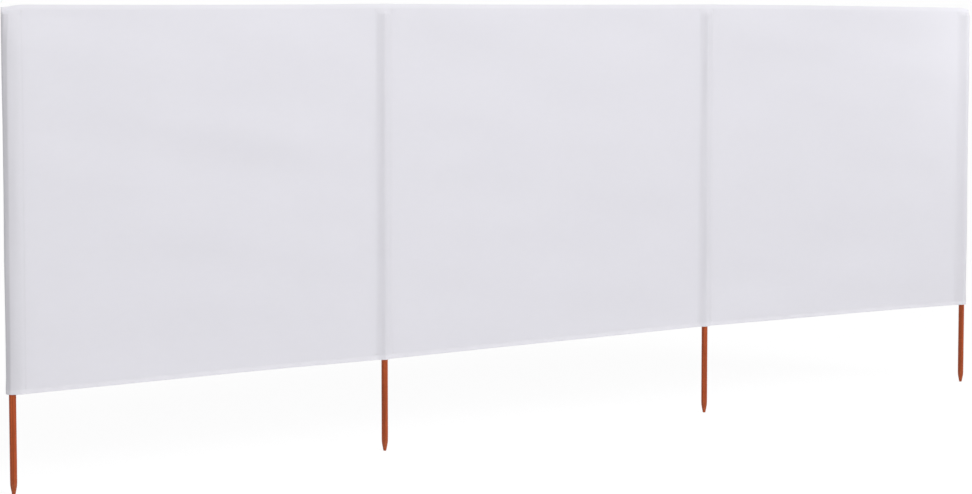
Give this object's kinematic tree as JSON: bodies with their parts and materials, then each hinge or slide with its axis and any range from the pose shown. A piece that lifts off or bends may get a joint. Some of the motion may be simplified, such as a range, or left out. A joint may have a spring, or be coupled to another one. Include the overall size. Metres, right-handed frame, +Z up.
{
  "type": "beach windbreak",
  "caption": "Cloth windbreak for the beach: taut panels between round wooden poles, held in sewn pockets, with bare tapered feet to push into the sand.",
  "frame": {"origin": "centre of the flat end of the first pole's foot, the left one seen from the front", "axes": "+X along the bays, +Z up the poles, and the cloth's front faces -Y"},
  "size_m": [4.011, 0.0286, 1.515],
  "materials": {
    "varnished_wood": "satin",
    "cloth": "matte",
    "hem_cloth": "matte"
  },
  "bodies": {
    "root": {"pole_1": "varnished_wood", "pole_2": "varnished_wood", "pole_3": "varnished_wood", "pole_4": "varnished_wood", "bay_1": "cloth", "bay_2": "cloth", "bay_3": "cloth", "end_pocket_1": "cloth", "end_pocket_4": "cloth", "pocket_front_2": "cloth", "pocket_front_3": "cloth", "pocket_back_2": "cloth", "pocket_back_3": "cloth", "top_hem_1": "hem_cloth", "top_hem_2": "hem_cloth", "top_hem_3": "hem_cloth", "bottom_hem_1": "hem_cloth", "bottom_hem_2": "hem_cloth", "bottom_hem_3": "hem_cloth", "mouth_hem_1": "hem_cloth", "mouth_hem_2": "hem_cloth", "mouth_hem_3": "hem_cloth", "mouth_hem_4": "hem_cloth", "crown_hem_1": "hem_cloth", "crown_hem_2": "hem_cloth", "crown_hem_3": "hem_cloth", "crown_hem_4": "hem_cloth"}
  },
  "joints": []
}
